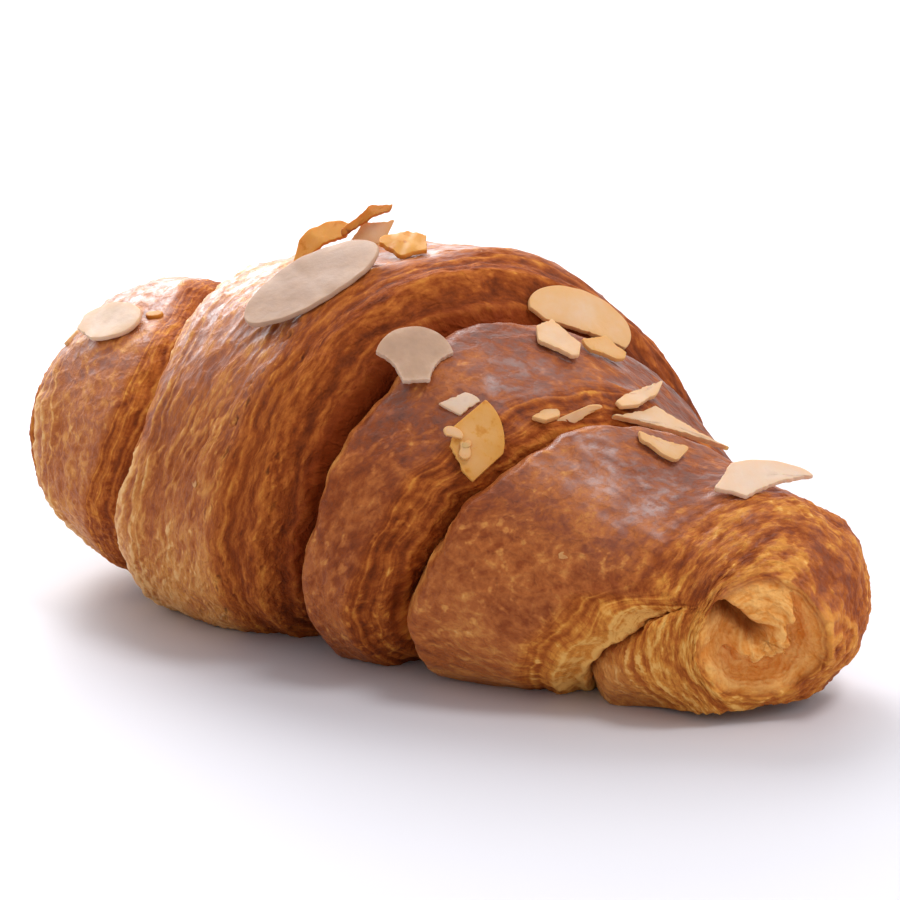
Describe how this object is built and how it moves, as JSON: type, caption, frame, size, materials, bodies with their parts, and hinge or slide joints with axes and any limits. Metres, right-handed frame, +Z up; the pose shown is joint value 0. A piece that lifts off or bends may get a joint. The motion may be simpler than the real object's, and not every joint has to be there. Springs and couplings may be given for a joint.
{
  "type": "almond croissant",
  "caption": "Rolled croissant with stepped, overlapping wraps, a browned flaky crust, an open spiral end and almond slices scattered over its top.",
  "frame": {"origin": "middle of the flat base, on the surface that the croissant lies on", "axes": "+X along the roll towards its open spiral end, -Y towards the front, +Z up"},
  "size_m": [0.1472, 0.0738, 0.0643],
  "materials": {
    "crust": "egg-washed baked crust, satin on the crowns and dry on the flaky slopes",
    "almond": "dry, pale almond slice",
    "toasted_almond": "dry, toasted almond slice"
  },
  "bodies": {
    "root": {"pastry": "crust", "slice_whole": "almond", "slice_shield": "almond", "slice_split": "almond", "slice_crest": "almond", "slice_stub": "almond", "slice_sliver": "almond", "slice_strip": "almond", "slice_long": "almond", "slice_chip": "almond", "slice_right": "almond", "slice_left": "almond", "slice_bit": "almond", "toasted_curl": "toasted_almond", "toasted_twist": "toasted_almond", "toasted_bit": "toasted_almond", "slice_back": "almond", "slice_back_half": "almond", "slice_back_left": "almond", "slice_back_chip": "almond"}
  },
  "joints": []
}
